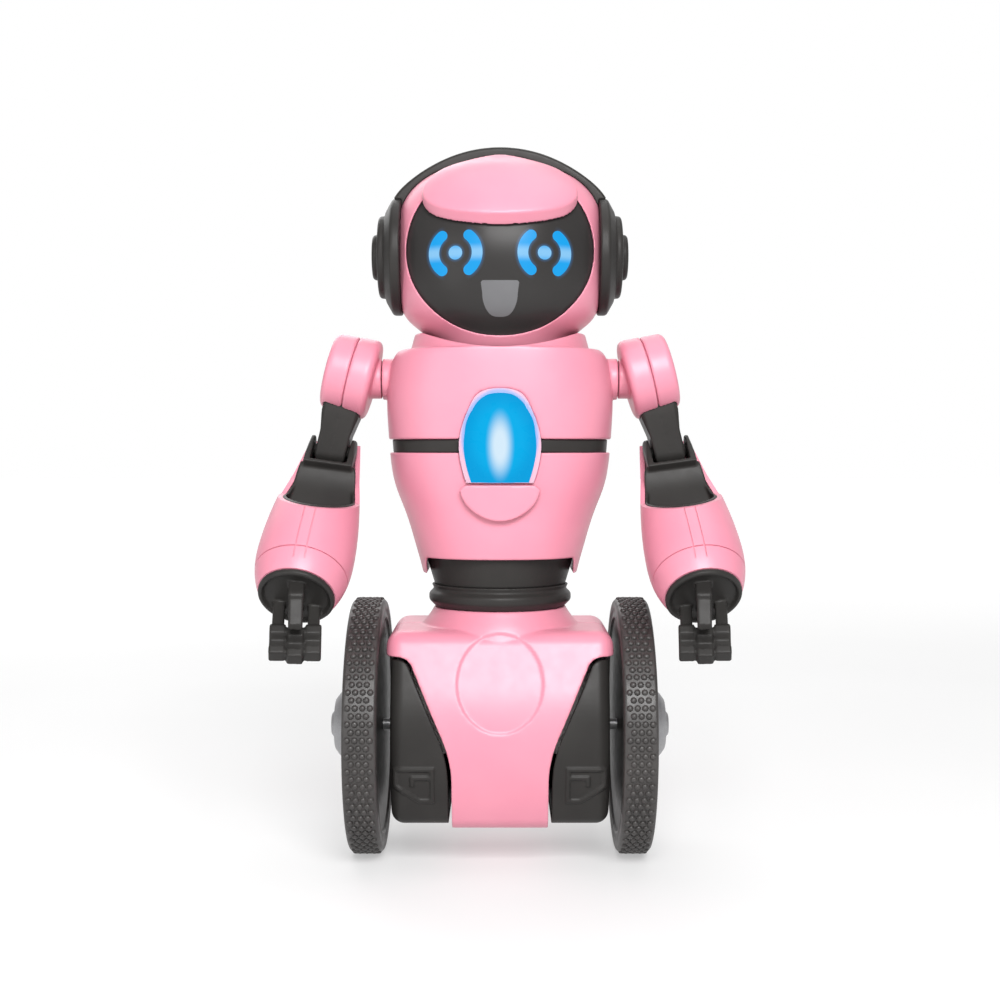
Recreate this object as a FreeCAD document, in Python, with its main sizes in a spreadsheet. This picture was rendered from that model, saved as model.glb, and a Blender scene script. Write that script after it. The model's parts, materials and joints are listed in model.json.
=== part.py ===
import FreeCAD, Part
import math
import os
import re
import Sketcher
from FreeCAD import Placement, Rotation, Vector

# Two-wheel balancing robot toy, 250 mm tall.
# +Z is up, the robot faces -Y, and its own left side is +X.
# The origin is on the ground, under the middle of the robot's box; the wheel axle is at Y = axle_y.
# Sizes are in millimetres and live in the sheet below.

SIZES = {
    # wheels
    "axle_y": 9.9,
    "wheel_radius": 45.5,
    "tyre_in_x": 41.0,
    "tyre_out_x": 52.5,
    "tyre_bore": 38.0,
    "tyre_round": 1.2,
    "rim_web_thick": 3.0,
    "rim_barrel_thick": 3.5,
    "rim_hub_radius": 8.0,
    "cap_boss_radius": 11.0,
    "cap_boss_x": 58.8,
    "cap_nose_radius": 4.6,
    "cap_nose_x": 60.3,
    "cap_arms": 5,
    "cap_arm_reach": 34.0,
    "cap_arm_width": 9.0,
    "axle_radius": 2.0,
    "axle_in_x": 20.0,
    "running_gap": 0.06,
    # base
    "base_half_x": 38.9,
    "base_bottom_z": 14.0,
    "belly_z": 45.0,
    "belly_reach": 36.4,
    "belly_radius": 60.0,
    "belly_lean": 18.8,
    "heel_radius": 8.0,
    "base_top_z": 82.0,
    "brink_radius": 7.0,
    "flank_radius": 5.5,
    "base_wall": 2.2,
    "panel_half_x": 16.4,
    "panel_corner_x": 31.3,
    "panel_corner_z": 73.6,
    "panel_foot_z": 39.5,
    "panel_corner_round": 5.0,
    "panel_foot_round": 40.0,
    "groove": 1.2,
    "housing_inset": 1.6,
    "housing_wall": 1.8,
    "oval_half_x": 14.7,
    "oval_half_z": 16.5,
    "oval_mid_z": 65.0,
    "oval_depth": 0.7,
    # waist
    "ring_radius": 25.3,
    "ring_bottom_z": 87.5,
    "ring_top_z": 96.4,
    "ring_bore": 14.0,
    "cone_foot_radius": 23.3,
    "cone_top_radius": 26.2,
    "cone_show_z": 106.0,
    "cone_top_z": 112.0,
    # torso
    "torso_wall": 2.0,
    "torso_front_z": 106.5,
    "lower_top_z": 142.9,
    "upper_bottom_z": 147.5,
    "torso_top_z": 178.7,
    "yoke_radius": 31.8,
    "yoke_top_radius": 30.2,
    "yoke_top_z": 184.5,
    "yoke_bore": 28.5,
    "boss_radius": 7.3,
    "boss_out_x": 41.6,
    "boss_z": 168.9,
    # chest light
    "lens_half_x": 12.15,
    "lens_mid_z": 146.8,
    "lens_top_z": 163.0,
    "lens_bottom_z": 132.9,
    "lens_foot_half_x": 9.7,
    "bezel_band": 1.6,
    "lip_half_x": 13.7,
    "lip_top_z": 132.0,
    "lip_bottom_z": 119.9,
    "lip_proud": 3.0,
    # head
    "head_wall": 2.2,
    "ear_z": 212.0,
    "ear_radius": 20.5,
    "ear_in_x": 34.6,
    "ear_rim_x": 40.3,
    "ear_step_radius": 14.5,
    "ear_step_x": 42.8,
    "ear_button_radius": 8.0,
    "ear_out_x": 45.1,
    "band_half_y": 6.0,
    "visor_half_x": 32.2,
    "visor_half_z": 29.3,
    "brow_half_x": 27.6,
    "brow_half_z": 13.5,
    "brow_z": 234.5,
    "plate_half_x": 26.4,
    "plate_half_depth": 17.1,
    "eye_x": 14.9,
    "eye_z": 209.7,
    "eye_dot_radius": 2.3,
    "eye_arc_radius": 7.3,
    "eye_arc_width": 3.6,
    "neck_radius": 9.5,
    # arms
    "drum_x": 52.9,
    "drum_z": 170.2,
    "drum_radius": 14.6,
    "drum_out_radius": 13.4,
    "drum_thick": 16.8,
    "arm_tilt": 14.5,
    "elbow_x": 59.8,
    "elbow_z": 143.4,
    "elbow_tilt": 7.7,
    "knuckle_radius": 6.3,
    "knuckle_half_x": 5.4,
    "cheek_half_x": 8.6,
    "pin_radius": 2.0,
    "forearm_flex": 46.5,
    "shell_wall": 1.6,
    "wrist_s": 68.0,
    "wrist_disc_radius": 12.6,
    "finger_pitch": 5.7,
    "finger_width": 5.2,
    "hand_turn": 9.0,
}
ALONG_X = Vector(1, 0, 0)
ALONG_Y = Vector(0, 1, 0)
ALONG_Z = Vector(0, 0, 1)
BIG = 300.0

doc = FreeCAD.newDocument("balancing_robot")
sheet = doc.addObject("Spreadsheet::Sheet", "Sizes")
for row, (alias, value) in enumerate(SIZES.items(), start=1):
    sheet.set("A%d" % row, alias)
    sheet.set("B%d" % row, str(value))
    sheet.setAlias("B%d" % row, alias)
doc.recompute()

parts = []


def size(expression):
    """The number that an expression in the sheet's aliases comes to."""
    return float(sheet.evalExpression(expression))


def bound(expression):
    """The same expression, as other objects of the document read it."""
    return re.sub(r"\b([a-z]+(?:_[a-z]+)+)\b", r"Sizes.\1", expression)


# ---------------------------------------------------------------- helpers: feature bodies

def new_body(label):
    body = doc.addObject("PartDesign::Body", label)
    body.Label = label
    parts.append(body)
    return body


def place(thing, x="0", y="axle_y", z="0"):
    """Moves a sub-part to a place given in the sheet's terms."""
    for axis, expression in zip("xyz", (x, y, z)):
        thing.setExpression("Placement.Base." + axis, bound(expression))


def plane_of(body, role):
    for feature in body.Origin.OriginFeatures:
        if feature.Role == role:
            return feature


def new_sketch(body, role):
    sketch = body.newObject("Sketcher::SketchObject", body.Label + "_sketch")
    sketch.AttachmentSupport = [(plane_of(body, role), "")]
    sketch.MapMode = "FlatFace"
    return sketch


def pin_point(sketch, edge, end, pair):
    """Ties one point of a sketch to the sketch's origin by its two coordinates."""
    for kind, axis_edge, expression in (("DistanceX", -2, pair[0]), ("DistanceY", -1, pair[1])):
        if expression == "0":
            sketch.addConstraint(Sketcher.Constraint("PointOnObject", edge, end, axis_edge))
            continue
        number = size(expression)
        index = sketch.addConstraint(Sketcher.Constraint(kind, -1, 1, edge, end, number))
        sketch.setExpression("Constraints[%d]" % index, bound(expression))


def outline(sketch, pairs):
    """A closed polygon through points given as pairs of sheet expressions."""
    points = [Vector(size(a), size(b), 0) for a, b in pairs]
    first = sketch.GeometryCount
    count = len(points)
    for i in range(count):
        sketch.addGeometry(Part.LineSegment(points[i], points[(i + 1) % count]), False)
    for i in range(count):
        following = first + (i + 1) % count
        sketch.addConstraint(Sketcher.Constraint("Coincident", first + i, 2, following, 1))
    for i, pair in enumerate(pairs):
        pin_point(sketch, first + i, 1, pair)


def ring(sketch, centre, radius):
    """A circle with its centre and radius given as sheet expressions."""
    middle = Vector(size(centre[0]), size(centre[1]), 0)
    edge = sketch.addGeometry(Part.Circle(middle, ALONG_Z, size(radius)), False)
    if centre == ("0", "0"):
        sketch.addConstraint(Sketcher.Constraint("Coincident", edge, 3, -1, 1))
    else:
        pin_point(sketch, edge, 3, centre)
    index = sketch.addConstraint(Sketcher.Constraint("Radius", edge, size(radius)))
    sketch.setExpression("Constraints[%d]" % index, bound(radius))


def revolve(body, role, pairs, axis="H_Axis", kind="Revolution"):
    """Turns an outline a full turn about one axis of its own sketch."""
    sketch = new_sketch(body, role)
    outline(sketch, pairs)
    feature = body.newObject("PartDesign::" + kind, body.Label + "_" + kind.lower())
    feature.Profile = sketch
    feature.ReferenceAxis = (sketch, [axis])
    feature.Angle = 360.0
    doc.recompute()
    return feature


def pad(body, sketch, length, midplane=False, backwards=False):
    feature = body.newObject("PartDesign::Pad", body.Label + "_pad")
    feature.Profile = sketch
    feature.setExpression("Length", bound(length))
    feature.Midplane = midplane
    feature.Reversed = backwards
    doc.recompute()
    return feature


def round_edges(body, feature, radius, wanted):
    """Fillets the edges of a feature that a test picks out."""
    names = []
    for i, edge in enumerate(feature.Shape.Edges, start=1):
        if wanted(edge):
            names.append("Edge%d" % i)
    fillet = body.newObject("PartDesign::Fillet", body.Label + "_fillet")
    fillet.Base = (feature, names)
    fillet.setExpression("Radius", bound(radius))
    doc.recompute()
    return fillet


def turn_about_x(body, feature, count):
    """Repeats a feature evenly about the body's X axis."""
    pattern = body.newObject("PartDesign::PolarPattern", body.Label + "_pattern")
    pattern.Originals = [feature]
    pattern.Axis = (plane_of(body, "X_Axis"), [""])
    pattern.Angle = 360.0
    pattern.setExpression("Occurrences", bound(count))
    body.Tip = pattern
    doc.recompute()
    return pattern


def is_circle_of(radius):
    def wanted(edge):
        return hasattr(edge.Curve, "Radius") and abs(edge.Curve.Radius - radius) < 0.01
    return wanted


# ---------------------------------------------------------------- helpers: free shapes

def new_feature(label, shape, x="0", z="0", turn=Rotation()):
    """A sub-part whose shape is worked out here, then turned and placed."""
    feature = doc.addObject("Part::Feature", label)
    feature.Label = label
    feature.Shape = shape
    feature.Placement = Placement(Vector(), turn)
    parts.append(feature)
    place(feature, x=x, z=z)
    return feature


def box(low, high):
    edges = Vector(*high) - Vector(*low)
    return Part.makeBox(edges.x, edges.y, edges.z, Vector(*low))


def rod(radius, start, end):
    """A solid cylinder between two points."""
    way = Vector(*end) - Vector(*start)
    return Part.makeCylinder(radius, way.Length, Vector(*start), way)


def prism(points, low_y, high_y):
    """A polygon given in X and Z, carried along Y from one depth to another."""
    corners = [Vector(x, low_y, z) for x, z in points]
    wire = Part.makePolygon(corners + corners[:1])
    return Part.Face(wire).extrude(Vector(0, high_y - low_y, 0))


def curve_prism(edges, low_y, high_y):
    """Closed edges in the XZ plane at Y = 0, carried along Y from one depth to another."""
    wire = Part.Wire(Part.__sortEdges__(edges))
    face = Part.Face(wire)
    face.translate(Vector(0, low_y, 0))
    return face.extrude(Vector(0, high_y - low_y, 0))


def ellipse_edge(half_x, half_z, z, x=0.0):
    """A whole ellipse in the XZ plane."""
    if half_x >= half_z:
        curve = Part.Ellipse(Vector(x + half_x, 0, z), Vector(x, 0, z + half_z), Vector(x, 0, z))
    else:
        curve = Part.Ellipse(Vector(x, 0, z + half_z), Vector(x + half_x, 0, z), Vector(x, 0, z))
    return curve.toShape()


def section(z, half_x, front, rear, square):
    """A closed smooth outline at one height, fuller at its corners as square grows past 2."""
    power = 2.0 / square
    points = []
    for i in range(SECTION_POINTS):
        angle = 2.0 * math.pi * i / SECTION_POINTS
        across = math.copysign(abs(math.cos(angle)) ** power, math.cos(angle))
        along = math.copysign(abs(math.sin(angle)) ** power, math.sin(angle))
        reach = rear if along > 0 else front
        points.append(Vector(half_x * across, reach * along, z))
    curve = Part.BSplineCurve()
    curve.interpolate(points, PeriodicFlag=True)
    return Part.Wire(curve.toShape())


def mirrored(shape):
    return shape.mirror(Vector(0, 0, 0), ALONG_X)


SECTION_POINTS = 28
FRONT_HALF = box((-BIG, -BIG, -BIG), (BIG, 0, 2 * BIG))
REAR_HALF = box((-BIG, 0, -BIG), (BIG, BIG, 2 * BIG))
LEFT_HALF = box((0, -BIG, -BIG), (BIG, BIG, 2 * BIG))
SIDES = (("left", 1), ("right", -1))


# ---------------------------------------------------------------- wheels

def mirrored_x(expression, side):
    return expression if side > 0 else "-(%s)" % expression


def wheel(name, side):
    def at(x, radius):
        return (mirrored_x(x, side), radius)

    tyre = new_body("tyre_" + name)
    turned = revolve(tyre, "XZ_Plane", [
        at("tyre_in_x", "tyre_bore"), at("tyre_out_x", "tyre_bore"),
        at("tyre_out_x", "wheel_radius"), at("tyre_in_x", "wheel_radius")])
    round_edges(tyre, turned, "tyre_round", is_circle_of(size("wheel_radius")))

    rim = new_body("wheel_rim_" + name)
    revolve(rim, "XZ_Plane", [
        at("tyre_in_x + 0.8", "axle_radius + 0.02"), at("tyre_in_x + 0.8", "tyre_bore"),
        at("tyre_out_x - 0.8", "tyre_bore"), at("tyre_out_x - 0.8", "tyre_bore - rim_barrel_thick"),
        at("tyre_in_x + 0.8 + rim_web_thick", "tyre_bore - rim_barrel_thick"),
        at("tyre_in_x + 0.8 + rim_web_thick", "rim_hub_radius"),
        at("tyre_out_x - 3", "rim_hub_radius"), at("tyre_out_x - 3", "axle_radius + 0.02")])

    # A star cover over the rim's dish, with a stepped boss in its middle.
    cap = new_body("hub_cap_" + name)
    revolve(cap, "XZ_Plane", [
        at("tyre_out_x - 3", "axle_radius + 0.05"), at("tyre_out_x - 3", "cap_boss_radius + 3"),
        at("tyre_out_x + 1.5", "cap_boss_radius + 3"), at("cap_boss_x - 1.6", "cap_boss_radius"),
        at("cap_boss_x", "cap_boss_radius - 2.2"), at("cap_boss_x", "cap_nose_radius + 0.6"),
        at("cap_nose_x - 0.8", "cap_nose_radius"), at("cap_nose_x", "cap_nose_radius - 1"),
        at("cap_nose_x", "0"), at("tyre_out_x + 2", "0"),
        at("tyre_out_x + 2", "axle_radius + 0.05")])
    arm = new_sketch(cap, "YZ_Plane")
    outline(arm, [
        ("-cap_arm_width / 2 - 1", "cap_boss_radius"), ("cap_arm_width / 2 + 1", "cap_boss_radius"),
        ("cap_arm_width / 2 - 1", "cap_arm_reach"), ("-cap_arm_width / 2 + 1", "cap_arm_reach")])
    arm.AttachmentOffset = Placement(Vector(0, 0, side * size("tyre_out_x - 3")), Rotation())
    turn_about_x(cap, pad(cap, arm, "2.2", backwards=side < 0), "cap_arms")

    axle = new_body("wheel_axle_" + name)
    round_sketch = new_sketch(axle, "YZ_Plane")
    ring(round_sketch, ("0", "0"), "axle_radius")
    round_sketch.AttachmentOffset = Placement(Vector(0, 0, side * size("axle_in_x")), Rotation())
    pad(axle, round_sketch, "tyre_out_x + 1 - axle_in_x", backwards=side < 0)

    for piece in (tyre, rim, cap, axle):
        place(piece, z="wheel_radius")


for name, side in SIDES:
    wheel(name, side)


# ---------------------------------------------------------------- base

def base_block(inset):
    """The base's outer block, drawn in by inset: a belly in side view, rounded at its ends."""
    half_x = size("base_half_x") - inset
    top = size("base_top_z") - inset
    belly = size("belly_radius") - inset
    heel = size("heel_radius") - inset
    belly_middle = Vector(0, size("belly_radius - belly_reach"), size("belly_z"))
    lean = math.radians(size("belly_lean"))
    tuck = math.asin(size("(belly_z - heel_radius - base_bottom_z) / (belly_radius - heel_radius)"))
    heel_middle = belly_middle + front_way(tuck) * size("belly_radius - heel_radius")
    shoulder = belly_middle + front_way(-lean) * belly
    rise = top - shoulder.z
    brink = shoulder + Vector(0, rise * math.tan(lean), rise)
    crest = belly_middle + front_way(0) * belly
    turn = belly_middle + front_way(tuck) * belly
    heel_mid = heel_middle + front_way((tuck + math.pi / 2) / 2) * heel
    sole = heel_middle + front_way(math.pi / 2) * heel
    front = [Part.LineSegment(brink, shoulder).toShape(), Part.Arc(shoulder, crest, turn).toShape(),
             Part.Arc(turn, heel_mid, sole).toShape()]
    rear = [edge.mirror(Vector(0, 0, 0), ALONG_Y) for edge in front]
    ends = [Part.LineSegment(point, Vector(0, -point.y, point.z)).toShape() for point in (brink, sole)]
    face = Part.Face(Part.Wire(Part.__sortEdges__(front + rear + ends)))
    face.translate(Vector(-half_x, 0, 0))
    block = face.extrude(Vector(2 * half_x, 0, 0))
    brinks = [edge for edge in block.Edges if abs(edge.CenterOfMass.x) < 0.01
              and abs(edge.CenterOfMass.z - top) < 0.01]
    block = block.makeFillet(size("brink_radius") - 0.6 * inset, brinks)
    flanks = [edge for edge in block.Edges if abs(abs(edge.CenterOfMass.x) - half_x) < 0.01]
    return block.makeFillet(size("flank_radius") - 0.6 * inset, flanks)


def front_way(fall):
    """The direction forward in side view, turned down by an angle."""
    return Vector(0, -math.cos(fall), -math.sin(fall))


def rounding(before, corner, after, radius):
    """Start, middle and end of the arc that rounds a corner between two straight runs."""
    back = (before - corner).normalize()
    ahead = (after - corner).normalize()
    half_angle = back.getAngle(ahead) / 2
    inwards = (back + ahead).normalize()
    reach = radius / math.tan(half_angle)
    middle = corner + inwards * (radius / math.sin(half_angle) - radius)
    return corner + back * reach, middle, corner + ahead * reach


def panel_outline(grow):
    """Front view of the pink panel: wide shoulders, a slanted side and a straight apron."""
    half = size("panel_half_x")
    shoulder_z = size("panel_corner_z")
    slant = math.atan2(size("panel_corner_x") - half, shoulder_z - size("panel_foot_z"))
    shift = grow / math.cos(slant)
    shoulder_x = size("panel_corner_x") + shift - grow * math.tan(slant)
    foot_z = size("panel_foot_z") + (grow - shift) / math.tan(slant)
    far = Vector(BIG, 0, shoulder_z - grow)
    corner = Vector(shoulder_x, 0, shoulder_z - grow)
    foot = Vector(half + grow, 0, foot_z)
    low = Vector(half + grow, 0, -10)
    first = rounding(far, corner, foot, size("panel_corner_round") - grow)
    second = rounding(corner, foot, low, size("panel_foot_round") + grow)
    right = [Part.LineSegment(far, first[0]), Part.Arc(*first), Part.LineSegment(first[2], second[0]),
             Part.Arc(*second), Part.LineSegment(second[2], low)]
    right = [edge.toShape() for edge in right]
    left = [mirrored(edge) for edge in right]
    under = [low, Vector(-low.x, 0, low.z)]
    over = [far, Vector(BIG, 0, BIG), Vector(-BIG, 0, BIG), Vector(-BIG, 0, far.z)]
    closing = [Part.LineSegment(a, b).toShape() for run in (under, over) for a, b in zip(run, run[1:])]
    return curve_prism(right + left + closing, -BIG, BIG)


# Height, half width and front reach of the skirt that leads up from the base to the waist.
SKIRT = [(74.0, 32.5, 29.5), (78.0, 30.1, 28.2), (82.0, 27.6, 26.8), (85.2, 25.2, 25.1), (88.2, 23.4, 23.4)]


def skirt(inset):
    rows = [section(z, half - inset, reach - inset, reach - inset, 2.0) for z, half, reach in SKIRT]
    return Part.makeLoft(rows, True, False)


def screw(at, way, length=7.0):
    """A pan-head screw with a cross recess; at is the middle of its head's outer face."""
    at = Vector(*at)
    way = Vector(*way)
    side = ALONG_X if abs(way.x) < 0.5 else ALONG_Z
    head = Part.makeCylinder(2.2, 1.4, at, way)
    shank = Part.makeCylinder(1.1, length, at + way * 1.4, way)
    solid = head.fuse(shank)
    for axis in (side, way.cross(side)):
        slot = Part.makeBox(3.0, 0.7, 1.4)
        slot.translate(Vector(-1.5, -0.35, -0.7))
        turn = FreeCAD.Matrix(axis.x, way.cross(axis).x, way.x, at.x,
                              axis.y, way.cross(axis).y, way.y, at.y,
                              axis.z, way.cross(axis).z, way.z, at.z, 0, 0, 0, 1)
        solid = solid.cut(slot.transformGeometry(turn))
    return solid


wall = size("base_wall")
groove = size("groove")
axle_z = size("wheel_radius")

shell = base_block(0).common(panel_outline(0)).fuse(skirt(0))
shell = shell.cut(base_block(wall)).cut(skirt(wall))

oval = curve_prism([ellipse_edge(size("oval_half_x"), size("oval_half_z"), size("oval_mid_z"))], -BIG, 0)
oval = oval.cut(base_block(size("oval_depth"))).cut(skirt(size("oval_depth")))
door_hole = box((-13, 0, 24), (13, BIG, 62))
switch_slot = box((-17.2, 0, 71.4), (-8.4, BIG, 75.0))
socket_hole = rod(4.0, (12, 10, 73.2), (12, BIG, 73.2))
front_shell = shell.common(FRONT_HALF).cut(oval)
rear_shell = shell.common(REAR_HALF).cut(door_hole).cut(switch_slot).cut(socket_hole)

door = base_block(0.2).cut(base_block(wall)).common(box((-12.8, 0, 24.2), (12.8, BIG, 61.8)))
finger_notch = rod(4.0, (-4, 39.0, 58.6), (4, 39.0, 58.6))
door = door.cut(finger_notch)

# Each side housing is a recessed black shell with a raised latch outline on its front.
inset = size("housing_inset")
latch_rim = prism([(22.3, 36.8), (36.2, 36.8), (36.2, 30.0), (27.4, 24.2), (22.3, 24.2)], -BIG, 0)
latch_field = prism([(23.5, 35.6), (35.0, 35.6), (35.0, 30.7), (27.0, 25.4), (23.5, 25.4)], -BIG, 0)
latch_bracket = prism([(23.0, 33.8), (30.3, 33.8), (30.3, 30.2), (29.1, 30.2), (29.1, 32.6), (23.0, 32.6)],
                      -BIG, 0)
latch_block = base_block(inset - 0.7).common(latch_rim.cut(latch_field).fuse(latch_bracket))
housing = base_block(inset).fuse(latch_block).cut(base_block(inset + size("housing_wall")))
housing = housing.cut(panel_outline(groove)).common(LEFT_HALF)
housing = housing.cut(rod(size("axle_radius") + 0.5, (30, 0, axle_z), (60, 0, axle_z)))


def screwed(shell, x, z, face_y):
    """Gives a rear shell a boss with a sunk screw; face_y is where the screw's head ends."""
    screws.append(screw((x, face_y, z), (0, -1, 0)))
    shell = shell.fuse(rod(3.4, (x, face_y - 8.5, z), (x, face_y + 0.6, z)))
    shell = shell.cut(rod(2.4, (x, face_y - 1.5, z), (x, BIG, z)))
    return shell.cut(rod(1.2, (x, face_y - 12, z), (x, face_y, z)))


screws = []
for x in (-24.0, 24.0):
    rear_shell = screwed(rear_shell, x, 76.0, 26.6)

new_feature("base_front_shell", front_shell)
new_feature("base_rear_shell", rear_shell)
new_feature("battery_door", door)
for name, side in SIDES:
    new_feature("side_housing_" + name, housing if side > 0 else mirrored(housing))

# Each drive unit is a sealed gearbox beside its wheel, with its motor above the axle line.
for name, side in SIDES:
    gearbox = box((18.5, -11, 37), (34.0, 11, 66)).fuse(rod(6.5, (34.0, 0, axle_z), (35.3, 0, axle_z)))
    gearbox = gearbox.cut(rod(size("axle_radius + running_gap"), (0, 0, axle_z), (40, 0, axle_z)))
    motor = rod(7.4, (2.5, 0, 57), (18.5, 0, 57)).fuse(rod(3.0, (1.2, 0, 57), (2.5, 0, 57)))
    motor = motor.cut(box((0, -9, 63), (18.5, 9, 70))).cut(box((0, -9, 44), (18.5, 9, 51)))
    new_feature("gearbox_" + name, gearbox if side > 0 else mirrored(gearbox))
    new_feature("motor_" + name, motor if side > 0 else mirrored(motor))

cells = [rod(4.4, (x, 24, 26), (x, 24, 60)) for x in (-9.0, 0.0, 9.0)]
tray = box((-13.4, 17, 25), (13.4, 20.5, 61))
new_feature("battery_pack", tray.fuse(cells))

board = box((-30, -20, 69.5), (30, 18, 71.1))
for x in (-27.5, 27.5):
    board = board.cut(rod(1.3, (x, 0, 69), (x, 0, 72)))
chips = [box((-9, -9, 71.1), (1, 1, 72.6)), box((6, -14, 71.1), (12, -6, 72.4)),
         box((-22, -10, 71.1), (-16, 2, 76.0))]
new_feature("control_board", board.fuse(chips))

socket = rod(3.9, (12, 18.4, 73.2), (12, 28.4, 73.2)).cut(rod(1.8, (12, 20, 73.2), (12, 30, 73.2)))
new_feature("charge_socket", socket)
knob = box((-16.8, 22, 71.8), (-11.6, 31.2, 74.6))
knob = knob.makeFillet(0.5, [edge for edge in knob.Edges if edge.CenterOfMass.y > 31])
new_feature("power_switch", knob)


# ---------------------------------------------------------------- waist and torso

waist_ring = new_body("waist_ring")
ring_turn = revolve(waist_ring, "XZ_Plane", [
    ("ring_bore", "ring_bottom_z + 0.8"), ("ring_radius - 2.4", "ring_bottom_z + 0.8"),
    ("ring_radius", "ring_bottom_z + 3.2"), ("ring_radius", "ring_top_z - 3.4"),
    ("ring_radius - 1.6", "ring_top_z - 1.9"), ("ring_radius - 1.6", "ring_top_z - 1.3"),
    ("ring_radius - 0.9", "ring_top_z"), ("ring_bore", "ring_top_z")], axis="V_Axis")
round_edges(waist_ring, ring_turn, "1.6", is_circle_of(size("ring_radius")))
place(waist_ring)

waist_cone = new_body("waist_cone")
revolve(waist_cone, "XZ_Plane", [
    ("ring_bore", "ring_top_z"), ("cone_foot_radius", "ring_top_z"),
    ("cone_top_radius", "cone_show_z"), ("cone_top_radius - 0.6", "cone_top_z"),
    ("cone_top_radius - 3", "cone_top_z"), ("cone_foot_radius - 2.4", "ring_top_z + 2.4"),
    ("ring_bore", "ring_top_z + 2.4")], axis="V_Axis")
place(waist_cone)

# Height, half width, front reach and rear reach of the torso.
TORSO = [
    (100.7, 27.4, 27.6, 27.6), (106.3, 28.8, 28.8, 28.8), (112.6, 30.6, 29.8, 29.8),
    (123.2, 34.0, 30.7, 30.7), (133.3, 37.6, 31.4, 31.4), (142.9, 39.0, 31.8, 31.8),
    (151.0, 39.6, 31.9, 31.9), (160.0, 40.0, 31.9, 31.9), (169.0, 39.1, 31.8, 31.8),
    (174.4, 38.2, 31.7, 31.7), (177.2, 37.0, 31.6, 31.6), (178.7, 35.4, 31.5, 31.5)]
TORSO_SQUARE = 2.5


def torso(inset):
    """The torso's outer form, drawn in at its sides only, so that its ends stay open."""
    rows = [(z, half - inset, front - inset, rear - inset) for z, half, front, rear in TORSO]
    wires = [section(*row, TORSO_SQUARE) for row in rows]
    return Part.makeLoft(wires, True, False)


def slab(low_z, high_z):
    return box((-BIG, -BIG, low_z), (BIG, BIG, high_z))


def egg(grow):
    """Front outline of the chest light: an egg with a flat foot."""
    half = size("lens_half_x") + grow
    foot = size("lens_foot_half_x") + grow
    low = size("lens_bottom_z") - (0.1 if grow > 0 else 0.0)
    curve = Part.BSplineCurve()
    high = size("lens_top_z")
    points = [Vector(foot, 0, low), Vector(half - 0.5, 0, low + 7), Vector(half, 0, size("lens_mid_z")),
              Vector(0.74 * half, 0, high - 5.6 + 0.7 * grow), Vector(0, 0, high + grow)]
    curve.interpolate(points, InitialTangent=Vector(0.35, 0, 1), FinalTangent=Vector(-1, 0, 0))
    left = mirrored(curve.toShape())
    sole = Part.LineSegment(Vector(-foot, 0, low), Vector(foot, 0, low)).toShape()
    return curve_prism([curve.toShape(), left, sole], -BIG, 0)


def smile(grow):
    """Front outline of the lip under the chest light."""
    half = size("lip_half_x") + grow
    top = size("lip_top_z")
    low = size("lip_bottom_z") - grow
    curve = Part.BSplineCurve()
    curve.interpolate([Vector(-half, 0, top - 1.5), Vector(-0.72 * half, 0, low + 3.9), Vector(0, 0, low),
                       Vector(0.72 * half, 0, low + 3.9), Vector(half, 0, top - 1.5)])
    corners = [Vector(-half, 0, top - 1.5), Vector(-half + 2, 0, top), Vector(half - 2, 0, top),
               Vector(half, 0, top - 1.5)]
    lines = [Part.LineSegment(a, b).toShape() for a, b in zip(corners, corners[1:])]
    return curve_prism([curve.toShape()] + lines, -BIG, 0)


outer = torso(0)
torso_shell = outer.cut(torso(size("torso_wall")))
front_notch = box((-25.5, -BIG, 90), (25.5, BIG, size("torso_front_z")))
light_hole = egg(size("bezel_band"))
lower = torso_shell.common(slab(90, size("lower_top_z"))).cut(front_notch)
shelf_z = size("lower_top_z")
lower_front = lower.common(FRONT_HALF).cut(light_hole)
lower_rear = lower.common(REAR_HALF)
speaker_z = 127.0
for row in range(-3, 4):
    row_z = speaker_z + 3.6 * row
    reach = math.sqrt(13.0 ** 2 - (3.6 * row) ** 2)
    lower_rear = lower_rear.cut(box((-reach, 20, row_z - 0.8), (reach, BIG, row_z + 0.8)))
for x in (-21.0, 21.0):
    lower_rear = screwed(lower_rear, x, 116.0, 23.4)
new_feature("torso_lower_front", lower_front)
new_feature("torso_lower_rear", lower_rear)

upper_bottom = size("upper_bottom_z")
torso_top = size("torso_top_z")
yoke_top = size("yoke_top_z")
upper = torso_shell.common(slab(upper_bottom, torso_top))
lid = outer.common(slab(torso_top - 2, torso_top))
yoke = Part.makeCone(size("yoke_radius"), size("yoke_top_radius"), yoke_top - torso_top,
                     Vector(0, 0, torso_top))
upper = upper.fuse(lid).fuse(yoke.common(outer.fuse(slab(torso_top, yoke_top))))
upper = upper.cut(rod(size("yoke_bore"), (0, 0, torso_top - 2), (0, 0, yoke_top + 1)))
# The collar dips at the front, under the chin.
dip_radius = 65.7
boss_z = size("boss_z")
upper = upper.cut(rod(dip_radius, (0, -BIG, torso_top + dip_radius), (0, -8, torso_top + dip_radius)))
for name, side in SIDES:
    boss = rod(size("boss_radius"), (side * 36, 0, boss_z), (side * size("boss_out_x"), 0, boss_z))
    upper = upper.fuse(boss.cut(torso(size("torso_wall"))))
upper_rear = upper.common(REAR_HALF)
for x in (-21.0, 21.0):
    upper_rear = screwed(upper_rear, x, 164.0, 27.2)
new_feature("torso_upper_front", upper.common(FRONT_HALF).cut(light_hole))
new_feature("torso_upper_rear", upper_rear)

band = torso(1.2).cut(torso(3.0)).common(slab(shelf_z, upper_bottom)).cut(light_hole)
new_feature("torso_band", band)

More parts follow.
